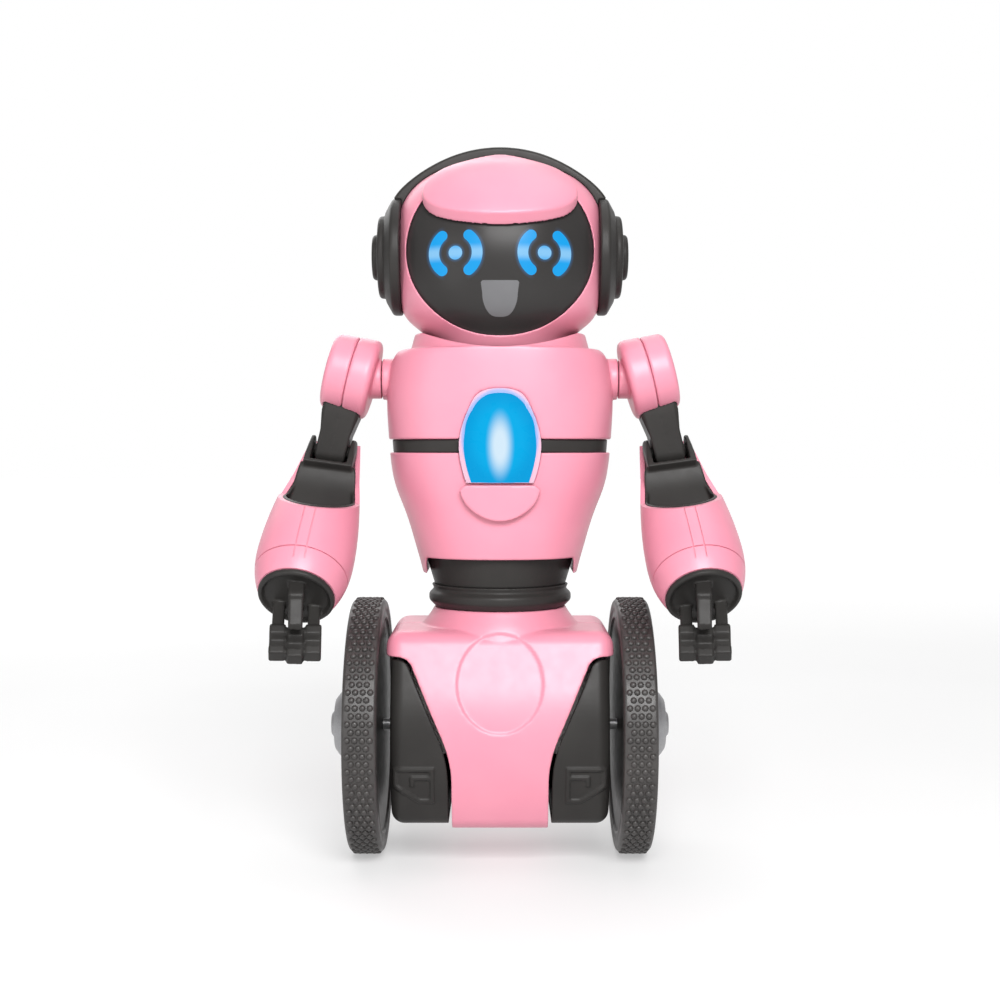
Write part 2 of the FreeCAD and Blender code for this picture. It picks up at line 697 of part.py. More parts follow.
lens_face = torso(-0.9).cut(torso(0.8))
new_feature("chest_lens", lens_face.common(egg(0)))
bezel_face = torso(-1.5).cut(torso(0.8))
new_feature("chest_bezel", bezel_face.common(egg(size("bezel_band"))).cut(egg(0)))
lip = torso(-size("lip_proud")).cut(outer).common(smile(0))
new_feature("chest_lip", lip)

led_board = box((-11, -27.5, 134), (11, -25.9, 162))
leds = [box((-1.8, -29.2, z - 1.8), (1.8, -27.5, z + 1.8)) for z in (140.0, 148.0, 156.0)]
new_feature("chest_led_board", led_board.fuse(leds))
speaker = rod(13.0, (0, 23.5, speaker_z), (0, 27.0, speaker_z))
speaker = speaker.fuse(rod(7.0, (0, 18.5, speaker_z), (0, 23.5, speaker_z)))
new_feature("speaker", speaker)

neck_post = new_body("neck_post")
revolve(neck_post, "XZ_Plane", [
    ("neck_radius - 3", "torso_top_z - 5"), ("yoke_bore + 0.5", "torso_top_z - 5"),
    ("yoke_bore + 0.5", "torso_top_z - 2.1"), ("neck_radius", "torso_top_z - 2.1"),
    ("neck_radius", "torso_top_z + 12"), ("neck_radius - 3", "torso_top_z + 12")], axis="V_Axis")
place(neck_post)


# ---------------------------------------------------------------- head

# Height, half width, front reach, rear reach and fullness of the head.
HEAD = [
    (178.0, 20.0, 20.0, 20.0, 2.0), (181.0, 24.4, 24.4, 24.4, 2.0), (185.2, 27.4, 27.4, 27.4, 2.0),
    (190.0, 32.8, 31.6, 30.4, 2.1), (196.0, 35.5, 33.9, 32.4, 2.2), (204.0, 36.6, 35.2, 33.8, 2.2),
    (213.0, 36.8, 35.4, 34.2, 2.2), (221.0, 36.4, 34.0, 33.4, 2.2), (228.0, 35.2, 30.9, 31.2, 2.2),
    (233.0, 32.8, 27.3, 28.4, 2.2), (237.8, 28.4, 22.9, 24.6, 2.15), (241.5, 22.2, 17.8, 19.6, 2.1),
    (244.6, 14.0, 11.6, 12.8, 2.0), (246.4, 6.0, 5.0, 5.6, 2.0)]
head_form = Part.makeLoft([section(*row) for row in HEAD], True, False)


def head(inset):
    """The head's outer form drawn in evenly towards the ears' height."""
    if inset == 0:
        return head_form
    middle = size("ear_z")
    shrink = FreeCAD.Matrix()
    shrink.move(Vector(0, 0, -middle))
    shrink.scale(Vector(1 - inset / 36.8, 1 - inset / 34.8, 1 - inset / 34.4))
    shrink.move(Vector(0, 0, middle))
    return head_form.transformGeometry(shrink)


ear_z = size("ear_z")
visor_front = curve_prism([ellipse_edge(size("visor_half_x"), size("visor_half_z"), ear_z)], -BIG, -2)
brow = curve_prism([ellipse_edge(size("brow_half_x"), size("brow_half_z"), size("brow_z"))], -BIG, 0)
above_brow = box((-BIG, -BIG, size("brow_z")), (BIG, 0, BIG))
visor_front = visor_front.cut(brow).cut(above_brow)


def arc_band(x, z, radius, width, side):
    """A curved bar with round ends, left or right of a centre, as seen from the front."""
    half = math.radians(52)
    low, high = radius - width / 2, radius + width / 2

    def at(reach, angle):
        return Vector(x + side * reach * math.cos(angle), 0, z + reach * math.sin(angle))

    def beyond(end, turn):
        middle = at(radius, end)
        slope = end + turn * math.pi / 2
        return middle + Vector(side * math.cos(slope), 0, math.sin(slope)) * (width / 2)

    edges = [Part.Arc(at(high, -half), at(high, 0), at(high, half)),
             Part.Arc(at(high, half), beyond(half, 1), at(low, half)),
             Part.Arc(at(low, half), at(low, 0), at(low, -half)),
             Part.Arc(at(low, -half), beyond(-half, -1), at(high, -half))]
    return curve_prism([edge.toShape() for edge in edges], -BIG, -2)


marks = []
for side in (1, -1):
    eye_x = side * size("eye_x")
    eye_z = size("eye_z")
    marks.append(curve_prism([Part.Circle(Vector(eye_x, 0, eye_z), ALONG_Y,
                                          size("eye_dot_radius")).toShape()], -BIG, -2))
    for turn in (1, -1):
        marks.append(arc_band(eye_x, eye_z, size("eye_arc_radius"), size("eye_arc_width"), turn))
eye_columns = Part.makeCompound(marks)

mouth_top = 200.4
mouth_curve = Part.BSplineCurve()
mouth_curve.interpolate([Vector(x, 0, z) for x, z in (
    (-5.9, 196), (-5.0, 191.8), (-2.6, 189), (0, 188.6), (2.6, 189), (5.0, 191.8), (5.9, 196))])
mouth_corners = [Vector(-5.9, 0, 196), Vector(-6.4, 0, mouth_top - 0.6), Vector(-5.8, 0, mouth_top),
                 Vector(5.8, 0, mouth_top), Vector(6.4, 0, mouth_top - 0.6), Vector(5.9, 0, 196)]
mouth_lines = [Part.LineSegment(a, b).toShape() for a, b in zip(mouth_corners, mouth_corners[1:])]
mouth_column = curve_prism([mouth_curve.toShape()] + mouth_lines, -BIG, -2)

visor_skin = head(0.9).cut(head(2.5)).common(visor_front)
new_feature("visor", visor_skin.cut(eye_columns).cut(mouth_column))
new_feature("eye_lights", visor_skin.common(eye_columns))
new_feature("mouth_window", visor_skin.common(mouth_column))

ear_columns = [rod(size("ear_radius") + 0.05, (side * size("ear_in_x"), 0, ear_z), (side * BIG, 0, ear_z))
               for side in (1, -1)]
head_shell = head(0).cut(head(size("head_wall"))).cut(ear_columns)
head_shell = head_shell.cut(rod(size("neck_radius") + 0.4, (0, 0, 170), (0, 0, 190)))
new_feature("head_front_shell", head_shell.common(FRONT_HALF).cut(visor_front))
new_feature("head_rear_shell", head_shell.common(REAR_HALF))

# The forehead plate is an oval brim, thin at the crown and proud of the face at its lower edge.
plate_curve = Part.Ellipse(Vector(size("plate_half_x"), 0, -8), Vector(0, size("plate_half_depth"), -8),
                           Vector(0, 0, -8))
plate_column = Part.Face(Part.Wire(plate_curve.toShape())).extrude(Vector(0, 0, 30))
plate_column.Placement = Placement(Vector(0, -23.8, 232.1), Rotation(ALONG_X, 40.0))
brim = head(-1.0)
brim.translate(Vector(0, -3.4, -0.9))
new_feature("forehead_plate", brim.cut(head(0)).common(plate_column))

band_curve = Part.BSplineCurve()
band_curve.interpolate([Vector(x, 0, z) for x, z in (
    (38.6, 229.5), (37.1, 232.6), (31.4, 238.6), (24.8, 243.1), (14.6, 247.7), (0, 250.0), (-14.6, 247.7),
    (-24.8, 243.1), (-31.4, 238.6), (-37.1, 232.6), (-38.6, 229.5))])
band_base = Part.LineSegment(Vector(-38.6, 0, 229.5), Vector(38.6, 0, 229.5)).toShape()
half_band = size("band_half_y")
headband = curve_prism([band_curve.toShape(), band_base], -half_band, half_band)
headband = headband.makeFillet(1.2, [edge for edge in headband.Edges
                                     if abs(abs(edge.CenterOfMass.y) - half_band) < 0.01
                                     and edge.CenterOfMass.z > 230])
new_feature("headband", headband.cut(head(-0.05)).cut(ear_columns))

for name, side in SIDES:
    ear = new_body("ear_cup_" + name)
    corners = [("ear_in_x", "0"), ("ear_in_x", "ear_radius"), ("ear_rim_x - 2.6", "ear_radius"),
               ("ear_rim_x", "ear_step_radius + 1.4"), ("ear_rim_x", "ear_step_radius"),
               ("ear_step_x", "ear_step_radius"),
               ("ear_step_x", "ear_button_radius"), ("ear_out_x", "ear_button_radius"), ("ear_out_x", "0")]
    cup = revolve(ear, "XZ_Plane", [(mirrored_x(x, side), radius) for x, radius in corners])
    rims = [size("ear_radius"), size("ear_step_radius"), size("ear_button_radius")]
    outer_rims = dict(zip(rims, ("ear_rim_x - 2.6", "ear_step_x", "ear_out_x")))

    def on_rim(edge):
        """True on the outer rim of each step of the cup."""
        for radius, x in outer_rims.items():
            if is_circle_of(radius)(edge) and abs(abs(edge.CenterOfMass.x) - size(x)) < 0.01:
                return True
        return False

    round_edges(ear, cup, "1.3", on_rim)
    place(ear, z="ear_z")

face_board = box((-18, -26.4, 201), (18, -24.8, 221))
face_leds = [box((x - 1.8, -28.0, 207.9), (x + 1.8, -26.4, 211.5)) for x in (-14.9, 14.9)]
new_feature("face_led_board", face_board.fuse(face_leds))


# ---------------------------------------------------------------- arms

def lathe(pairs, smooth=True):
    """A solid turned about -Z from pairs of (distance down the axis, radius)."""
    points = [Vector(radius, 0, -down) for down, radius in pairs]
    if smooth:
        curve = Part.BSplineCurve()
        curve.interpolate(points)
        edges = [curve.toShape()]
    else:
        edges = [Part.LineSegment(a, b).toShape() for a, b in zip(points, points[1:])]
    top, bottom = points[0], points[-1]
    axis_points = [Vector(0, 0, top.z), Vector(0, 0, bottom.z)]
    for a, b in ((axis_points[0], top), (bottom, axis_points[1]), (axis_points[1], axis_points[0])):
        if (a - b).Length > 0.001:
            edges.append(Part.LineSegment(a, b).toShape())
    face = Part.Face(Part.Wire(Part.__sortEdges__(edges)))
    return face.revolve(Vector(0, 0, 0), ALONG_Z, 360)


def side_prism(pairs, low_x, high_x):
    """A polygon of (distance down, distance forward) pairs, carried across the arm."""
    corners = [Vector(low_x, -forward, -down) for down, forward in pairs]
    return Part.Face(Part.makePolygon(corners + corners[:1])).extrude(Vector(high_x - low_x, 0, 0))


# Distance down from the elbow and radius of the forearm.
FOREARM = [(-8.0, 9.6), (0.0, 10.5), (12.0, 11.9), (25.0, 13.8), (38.0, 15.4), (50.0, 16.1),
           (58.0, 15.8), (64.0, 14.5), (68.0, 12.9)]


def forearm_form(inset):
    return lathe([(down, radius - inset) for down, radius in FOREARM])


def on_arm(label, shape, side):
    """A piece given about the shoulder drum's middle."""
    piece = shape if side > 0 else mirrored(shape)
    tilt = Rotation(ALONG_Y, -side * size("arm_tilt"))
    new_feature(label, piece, mirrored_x("drum_x", side), "drum_z", tilt)


def on_forearm(label, shape, side):
    """A piece given about the elbow, with the forearm hanging straight down."""
    piece = shape if side > 0 else mirrored(shape)
    turn = Rotation(ALONG_Y, -side * size("elbow_tilt")).multiply(Rotation(ALONG_X, -size("forearm_flex")))
    new_feature(label, piece, mirrored_x("elbow_x", side), "elbow_z", turn)


half_thick = size("drum_thick") / 2
drum_r = size("drum_radius")
drum_out_r = size("drum_out_radius")
drum = Part.makeCone(drum_r, drum_out_r, 2 * half_thick, Vector(-half_thick, 0, 0), ALONG_X)
drum = drum.makeFillet(2.4, [edge for edge in drum.Edges if edge.Closed])
hollow = Part.makeCylinder(drum_out_r - 2.4, 2 * half_thick - 4, Vector(-half_thick + 2, 0, 0), ALONG_X)
drum = drum.cut(hollow)
seam = box((-0.25, -BIG, -BIG), (0.25, BIG, BIG)).cut(rod(drum_out_r - 0.1, (-1, 0, 0), (1, 0, 0)))
drum = drum.cut(seam)
drum_inner = drum.common(box((-20, -30, -30), (0, 30, 30)))
drum_outer = drum.common(box((0, -30, -30), (20, 30, 30)))
drum_outer = drum_outer.fuse(rod(4.6, (half_thick - 0.5, 0, 0), (half_thick + 0.7, 0, 0)))

# The drum turns on the torso's boss through a short hub, level with it.
to_arm = Placement(Vector(size("drum_x"), 0, size("drum_z")), Rotation(ALONG_Y, -size("arm_tilt"))).inverse()
hub = rod(size("boss_radius") - 0.4, (size("boss_out_x") + 0.35, 0, boss_z), (50.0, 0, boss_z))
hub.Placement = to_arm
hub = hub.common(box((-20, -30, -30), (-half_thick + 1.5, 30, 30)))
drum_inner = drum_inner.fuse(hub)

# The upper arm tapers from the drum to a round knuckle that turns in the forearm's fork.
elbow_from_drum = to_arm.multVec(Vector(size("elbow_x"), 0, size("elbow_z")))
knuckle_r = size("knuckle_radius")
knuckle_x = size("knuckle_half_x")
drop = -elbow_from_drum.z
off = elbow_from_drum.x
tilt_left = math.radians(size("arm_tilt - elbow_tilt"))
knuckle_way = Vector(math.cos(tilt_left), 0, -math.sin(tilt_left))
elbow = Vector(off, 0, -drop)
tip_z = -drop - 0.8
taper_z = -drop + 6.6
arm_corners = [Vector(x, 0, z) for x, z in (
    (off - knuckle_x, tip_z), (off - knuckle_x, taper_z), (-6.7, -14), (-6.3, -9),
    (6.3, -9), (6.7, -14), (off + knuckle_x, taper_z), (off + knuckle_x, tip_z))]
arm_edges = [Part.LineSegment(a, b).toShape() for a, b in zip(arm_corners, arm_corners[1:])]
arm_tip = Part.Arc(arm_corners[-1], Vector(off, 0, -drop - knuckle_r - 0.2), arm_corners[0])
arm_front = curve_prism(arm_edges + [arm_tip.toShape()], -20, 20)
arm_side = Part.Face(Part.makePolygon([Vector(off, y, z) for y, z in (
    (-7.3, -9), (7.3, -9), (7.2, -14), (knuckle_r, -drop), (-knuckle_r, -drop), (-7.2, -14), (-7.3, -9))]))
arm_side.translate(knuckle_way * -15)
arm_side = arm_side.extrude(knuckle_way * 30)
arm_side = arm_side.fuse(rod(knuckle_r, elbow - knuckle_way * 15, elbow + knuckle_way * 15))
arm_round = Part.makeCone(7.2, 9.4, drop, Vector(off, 0, -drop - 8), ALONG_Z)
bar = arm_front.common(arm_side).common(arm_round)
pin_bore = rod(size("pin_radius + running_gap"), elbow - knuckle_way * 12, elbow + knuckle_way * 12)
upper_arm = bar.cut(pin_bore)
arm_seam = box((-0.2, -BIG, -30), (0.2, -5.9, -drum_r))
upper_arm = upper_arm.cut(arm_seam)
arm_block = bar.common(box((-20, -20, -20), (20, 20, 0)))
drum_inner = drum_inner.cut(arm_block)
drum_outer = drum_outer.cut(arm_block)

# The forearm's shell is open at the front of the elbow; its two halves meet on the middle plane.
shell_wall = size("shell_wall")
forearm_shell = forearm_form(0).cut(forearm_form(shell_wall))
mouth_line = [(61, 30), (24, 0), (12, -2.0), (-9, -3.6), (-30, -3.6), (-30, 30)]
forearm_shell = forearm_shell.cut(side_prism(mouth_line, -30, 30))
cross_seam = rod(30, (0, 0, -60.7), (0, 0, -60.2)).cut(rod(14.95, (0, 0, -61), (0, 0, -60)))
strip_seams = [side_prism([(20, 30), (64.5, 30), (64.5, 9), (20, 9)], x - 0.25, x + 0.25)
               for x in (-1.8, 1.8)]
strip_cut = Part.makeCompound(strip_seams).cut(forearm_form(0.45))
forearm_shell = forearm_shell.cut(cross_seam).cut(strip_cut)

cheek_x = size("cheek_half_x")
core_form = forearm_form(shell_wall + 0.05)
scoop = rod(24.0, (-30, -22.0, -24.0), (30, -22.0, -24.0))
floor = core_form.common(box((-30, -30, -46.5), (30, 30, -9.6))).cut(scoop)
liner_line = [(60.4, 30), (23.4, 0), (12, -2.4), (-6.5, -4.0), (-6.5, 60), (60.4, 60)]
liner = core_form.cut(forearm_form(shell_wall + 1.15)).common(box((-30, -30, -46.5), (30, 30, 6.5)))
liner = liner.cut(side_prism(liner_line, -30, 30)).cut(rod(knuckle_r + 0.4, (-6.45, 0, 0), (6.45, 0, 0)))
cheeks = rod(4.8, (-cheek_x, 0, 0), (cheek_x, 0, 0))
cheeks = cheeks.fuse(side_prism([(0, -7.0), (0, 4.8), (11, 4.8), (11, -7.0)], -cheek_x, cheek_x))
cheeks = cheeks.cut(box((-6.45, -30, -9.6), (6.45, 30, 30))).common(core_form)
core = floor.fuse(liner).fuse(cheeks)
core = core.fuse(rod(size("pin_radius"), (-cheek_x + 1.5, 0, 0), (cheek_x - 1.5, 0, 0)))

# The hand: a dished wrist disc, three hooked fingers below and a thumb above.
wrist = size("wrist_s")
disc = lathe([(wrist - 4, 11.0), (wrist + 0.05, 11.0), (wrist + 0.05, size("wrist_disc_radius")),
              (wrist + 1.4, size("wrist_disc_radius")), (wrist + 1.9, size("wrist_disc_radius") - 0.5),
              (wrist + 1.9, 11.2), (wrist + 0.7, 10.6)], smooth=False)
finger_half = size("finger_width") / 2
stem = side_prism([(wrist - 1.8, -7.2), (wrist - 1.8, -3.4), (80, -3.0), (80, -7.4)], -1.95, 1.95)
stem = stem.makeFillet(0.7, [edge for edge in stem.Edges if edge.Length > 11])
hook = side_prism([(78.4, -7.6), (79.2, -8.3), (82.2, -8.5), (82.9, -7.7), (83.6, -8.5), (87.6, -8.6),
                   (90.3, -6.6), (90.6, -1.9), (87.8, -1.3), (87.0, -4.2), (83.8, -4.0), (82.4, -1.8),
                   (79.8, -1.4), (78.4, -2.4)], -finger_half, finger_half)
hook = hook.makeFillet(0.5, [edge for edge in hook.Edges
                             if abs(abs(edge.CenterOfMass.x) - finger_half) < 0.01])
finger = stem.fuse(hook)
digits = []
for step, reach in ((-1, 0.0), (0, 1.2), (1, 0.0)):
    copy = finger.copy()
    copy.translate(Vector(step * size("finger_pitch"), 0, -reach))
    digits.append(copy)
thumb_base = side_prism([(wrist, 3.4), (wrist, 7.2), (75.0, 8.4), (75.0, 4.4)], -2.5, 2.5)
thumb_tip = side_prism([(74.4, 4.6), (74.4, 7.6), (76.6, 8.1), (84.4, 4.6), (85.0, 2.6), (82.6, 1.6),
                        (76.6, 4.0)], -2.3, 2.3)
thumb = thumb_base.makeFillet(0.5, [edge for edge in thumb_base.Edges if edge.Length > 6])
thumb_tip = thumb_tip.makeFillet(0.45, [edge for edge in thumb_tip.Edges
                                        if abs(abs(edge.CenterOfMass.x) - 2.3) < 0.01])
digits += [thumb, thumb_tip]
hand = disc
for digit in digits:
    digit.rotate(Vector(0, 0, -wrist), ALONG_Y, size("hand_turn"))
    hand = hand.fuse(digit)

inner_half = box((-40, -60, -120), (0, 60, 60))
outer_half = box((0, -60, -120), (40, 60, 60))
for name, side in SIDES:
    on_arm("shoulder_drum_inner_" + name, drum_inner, side)
    on_arm("shoulder_drum_outer_" + name, drum_outer, side)
    on_arm("upper_arm_" + name, upper_arm, side)
    on_forearm("forearm_shell_inner_" + name, forearm_shell.common(inner_half), side)
    on_forearm("forearm_shell_outer_" + name, forearm_shell.common(outer_half), side)
    on_forearm("forearm_core_" + name, core, side)
    on_forearm("hand_" + name, hand, side)

new_feature("shell_screws", Part.makeCompound(screws))


# ---------------------------------------------------------------- checks and export

doc.recompute()
for thing in doc.Objects:
    if "Invalid" in thing.State or "Error" in thing.State:
        raise RuntimeError("%s is %s" % (thing.Label, thing.State))
for part in parts:
    if part.Shape.isNull() or not part.Shape.isValid() or not part.Shape.Solids:
        raise RuntimeError(part.Label + " has no valid shape")

os.makedirs("parts", exist_ok=True)
for part in parts:
    part.Shape.exportStep("parts/%s.step" % part.Label)

whole = FreeCAD.BoundBox()
for part in parts:
    whole.add(part.Shape.BoundBox)
print("%d sub-parts, X %.2f..%.2f, Y %.2f..%.2f, Z %.2f..%.2f" % (
    len(parts), whole.XMin, whole.XMax, whole.YMin, whole.YMax, whole.ZMin, whole.ZMax))
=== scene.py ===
import json
import math

import bmesh
import bpy
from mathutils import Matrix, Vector
from mathutils.kdtree import KDTree


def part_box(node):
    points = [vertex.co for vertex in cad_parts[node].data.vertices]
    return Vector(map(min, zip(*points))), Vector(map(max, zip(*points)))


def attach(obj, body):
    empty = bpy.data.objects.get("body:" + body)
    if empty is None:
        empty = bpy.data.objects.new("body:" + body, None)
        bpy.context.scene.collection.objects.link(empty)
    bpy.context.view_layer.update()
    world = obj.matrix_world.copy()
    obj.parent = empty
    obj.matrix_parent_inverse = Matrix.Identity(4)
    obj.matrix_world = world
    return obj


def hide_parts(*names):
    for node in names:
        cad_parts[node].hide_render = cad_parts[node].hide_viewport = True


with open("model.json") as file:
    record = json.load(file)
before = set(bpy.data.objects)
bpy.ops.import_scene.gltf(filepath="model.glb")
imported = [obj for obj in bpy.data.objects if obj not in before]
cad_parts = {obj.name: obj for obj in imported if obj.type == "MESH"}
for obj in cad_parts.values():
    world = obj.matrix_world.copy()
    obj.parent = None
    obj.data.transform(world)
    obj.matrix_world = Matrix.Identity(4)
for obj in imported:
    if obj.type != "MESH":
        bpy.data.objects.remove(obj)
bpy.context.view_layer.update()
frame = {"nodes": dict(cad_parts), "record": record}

# Metres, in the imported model's frame: +Z up, the robot faces -Y, its own left is +X.
MM = 0.001
NODES = frame["nodes"]
RECORD = frame["record"]
SLOT_OF = {row["node"]: row["material_slot"] for row in RECORD["subparts"]}
BODY_OF = {node: body for body, members in RECORD["behaviour"]["bodies"].items() for node in members}


def middle(node):
    low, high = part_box(node)
    return (low + high) / 2


def place_object(name, data):
    """A new object in the scene, at the frame's origin."""
    obj = bpy.data.objects.new(name, data)
    bpy.context.scene.collection.objects.link(obj)
    return obj


AXLE = middle("tyre_left")


# ---------------------------------------------------------------- camera, light and floor

EYE_DISTANCE = 535 * MM
EYE_HEIGHT = 145.5 * MM
AIM_HEIGHT = 125.9 * MM
LENS_MM = 53.95
SENSOR_MM = 36.0
CHEST = (0, 0, 0.15)

# Each light: its name, its place, its width and height in metres, and its power in watts.
LIGHTS = (
    ("key", (0.12, -0.95, 0.68), (0.6, 0.45), 16.0),
    ("fill", (-0.75, -0.75, 0.25), (0.5, 0.7), 2.6),
    ("top", (0.1, 0.1, 0.95), (0.7, 0.7), 2.2),
    ("back", (-0.3, 0.8, 0.75), (0.8, 0.6), 3.5),
)

# The room's brightness by how far a direction points along +Y: dim below the first value of the rise,
# full above the second.
ROOM_DIM = 0.3
ROOM_FULL = 1.0
ROOM_RISE = (0.55, 0.88)
WHITE = (1.0, 1.0, 1.0, 1.0)
FLOOR_REACH = 6.0


def make_camera():
    data = bpy.data.cameras.new("camera")
    data.lens = LENS_MM
    data.sensor_width = SENSOR_MM
    camera = place_object("camera", data)
    camera.location = (0, AXLE.y - EYE_DISTANCE, EYE_HEIGHT)
    aim = Vector((0, AXLE.y, AIM_HEIGHT)) - camera.location
    camera.rotation_euler = aim.to_track_quat("-Z", "Y").to_euler()
    bpy.context.scene.camera = camera


def area_light(name, place, size, power):
    """A soft rectangular light that points at the robot's chest."""
    data = bpy.data.lights.new(name, "AREA")
    data.shape = "RECTANGLE"
    data.size, data.size_y = size
    data.energy = power
    light = place_object(name, data)
    light.location = place
    light.rotation_euler = (Vector(CHEST) - Vector(place)).to_track_quat("-Z", "Y").to_euler()


def make_lights():
    for name, place, size, power in LIGHTS:
        area_light(name, place, size, power)
    bpy.context.scene.view_settings.view_transform = "Standard"


def make_world():
    """A pale room, white at the end that the robot stands in front of and softer elsewhere."""
    world = bpy.data.worlds.new("studio")
    world.use_nodes = True
    nodes = world.node_tree.nodes
    links = world.node_tree.links
    way = nodes.new("ShaderNodeTexCoord")
    parts = nodes.new("ShaderNodeSeparateXYZ")
    ramp = nodes.new("ShaderNodeMapRange")
    ramp.interpolation_type = "SMOOTHSTEP"
    ramp.inputs["From Min"].default_value, ramp.inputs["From Max"].default_value = ROOM_RISE
    ramp.inputs["To Min"].default_value = ROOM_DIM
    ramp.inputs["To Max"].default_value = ROOM_FULL
    links.new(way.outputs["Generated"], parts.inputs[0])
    links.new(parts.outputs["Y"], ramp.inputs["Value"])
    links.new(ramp.outputs["Result"], nodes["Background"].inputs["Strength"])
    nodes["Background"].inputs["Color"].default_value = WHITE
    bpy.context.scene.world = world


def make_floor(material):
    """A plain pale floor: one large flat sheet, level with the wheels."""
    mesh = bpy.data.meshes.new("floor")
    corners = [(x * FLOOR_REACH, y * FLOOR_REACH, 0) for x, y in ((-1, -1), (1, -1), (1, 1), (-1, 1))]
    mesh.from_pydata(corners, [], [(0, 1, 2, 3)])
    mesh.materials.append(material)
    floor = place_object("floor", mesh)


# ---------------------------------------------------------------- materials

# Most noise lies between these two values.
NOISE_MIDDLE = (0.3, 0.7)
GRAIN_DEPTH = 0.05 * MM
COAT_ROUGHNESS = 0.36

# How far a moulded surface's roughness drifts to either side of its own.
SMOOTHER = 0.03
ROUGHER = 0.05

# The mix node's sockets for colours: it has others for numbers and vectors.
MIX_COLOUR_A = 6
MIX_COLOUR_B = 7
MIX_COLOUR_RESULT = 2


class Nodes:
    """Short calls for building one material's node tree."""

    def __init__(self, name):
        self.material = bpy.data.materials.new(name)
        self.material.use_nodes = True
        self.tree = self.material.node_tree
        self.shader = self.tree.nodes["Principled BSDF"]
        self.place = self.add("ShaderNodeTexCoord").outputs["Object"]

    def add(self, kind, **settings):
        node = self.tree.nodes.new(kind)
        for name, value in settings.items():
            setattr(node, name, value)
        return node

    def link(self, output, socket):
        self.tree.links.new(output, socket)

    def feed(self, node, socket, value):
        if isinstance(value, bpy.types.NodeSocket):
            self.link(value, node.inputs[socket])
        else:
            node.inputs[socket].default_value = value

    def math(self, operation, first, second=0.0):
        node = self.add("ShaderNodeMath", operation=operation)
        self.feed(node, 0, first)
        self.feed(node, 1, second)
        return node.outputs[0]

    def noise(self, scale, detail=2.0, roughness=0.5):
        """Noise through the object; scale is in cycles per metre."""
        node = self.add("ShaderNodeTexNoise")
        node.inputs["Scale"].default_value = scale
        node.inputs["Detail"].default_value = detail
        node.inputs["Roughness"].default_value = roughness
        self.link(self.place, node.inputs["Vector"])
        return node.outputs["Fac"]

    def span(self, value, from_low, from_high, to_low, to_high):
        """Eases the value from one range into another and holds it at the ends."""
        node = self.add("ShaderNodeMapRange")
        node.interpolation_type = "SMOOTHSTEP"
        self.link(value, node.inputs["Value"])
        node.inputs["From Min"].default_value = from_low
        node.inputs["From Max"].default_value = from_high
        node.inputs["To Min"].default_value = to_low
        node.inputs["To Max"].default_value = to_high
        return node.outputs["Result"]

    def blend(self, share, first, second):
        """The first colour where share is 0, the second where it is 1."""
        node = self.add("ShaderNodeMix", data_type="RGBA")
        self.feed(node, "Factor", share)
        for socket, colour in ((MIX_COLOUR_A, first), (MIX_COLOUR_B, second)):
            self.feed(node, socket, colour if isinstance(colour, bpy.types.NodeSocket) else (*colour, 1.0))
        return node.outputs[MIX_COLOUR_RESULT]

    def bump(self, height, strength, distance):
        node = self.add("ShaderNodeBump")
        node.inputs["Strength"].default_value = strength
        node.inputs["Distance"].default_value = distance
        self.link(height, node.inputs["Height"])
        self.link(node.outputs["Normal"], self.shader.inputs["Normal"])

    def set(self, **values):
        for name, value in values.items():
            self.shader.inputs[name.replace("_", " ")].default_value = value

    def tint(self, first, second, scale, detail=2.0, roughness=0.5, ends=NOISE_MIDDLE):
        """Lets the base colour drift between two near colours, by noise between its two ends."""
        drift = self.span(self.noise(scale, detail, roughness), *ends, 0.0, 1.0)
        self.link(self.blend(drift, first, second), self.shader.inputs["Base Color"])

    def gloss(self, low, high, scale, detail=2.0, roughness=0.5, ends=NOISE_MIDDLE):
        """Lets the roughness drift between two values, by noise between its two ends."""
        drift = self.span(self.noise(scale, detail, roughness), *ends, low, high)
        self.link(drift, self.shader.inputs["Roughness"])


def moulded_plastic(name, colour, shade, rough, coat=0.0, grain=0.05, shine=0.5):
    """Injection-moulded plastic: a slight drift of colour, a fine grain and an uneven gloss."""
    m = Nodes(name)
    m.tint(colour, shade, 45.0, 3.0)
    m.gloss(rough - SMOOTHER, rough + ROUGHER, 260.0, 4.0, 0.6, ends=(0.25, 0.75))
    m.bump(m.noise(1900.0), grain, GRAIN_DEPTH)
    m.set(Coat_Weight=coat, Coat_Roughness=COAT_ROUGHNESS, Specular_IOR_Level=shine)
    return m.material


def tyre_rubber():
    """Matt rubber with a dusty bloom and a slight mould texture."""
    m = Nodes("tyre_rubber_look")
    m.tint((0.03, 0.027, 0.026), (0.044, 0.04, 0.038), 70.0, 5.0, 0.65, ends=(0.35, 0.75))
    m.gloss(0.4, 0.5, 300.0, 3.0)
    m.bump(m.noise(1500.0, 3.0), 0.08, GRAIN_DEPTH)
    return m.material


def silver_plastic():
    """Satin silver paint with a fine flake."""
    m = Nodes("silver_look")
    m.tint((0.27, 0.27, 0.28), (0.36, 0.36, 0.37), 5200.0, 1.0, ends=(0.35, 0.65))
    m.gloss(0.38, 0.48, 350.0)
    m.set(Metallic=0.55)
    return m.material


def plain_metal():
    """Plain steel, a little stained."""
    m = Nodes("steel_look")
    m.tint((0.2, 0.2, 0.205), (0.28, 0.28, 0.28), 900.0, 4.0, 0.7)
    m.gloss(0.42, 0.55, 420.0)
    m.set(Metallic=1.0)
    return m.material


def split(m):
    """The place's x, y and z."""
    node = m.add("ShaderNodeSeparateXYZ")
    m.link(m.place, node.inputs[0])
    return node.outputs


def length(m, across, up):
    """The length of the step (across, up) in the front view."""
    return m.math("SQRT", m.math("ADD", m.math("MULTIPLY", across, across), m.math("MULTIPLY", up, up)))


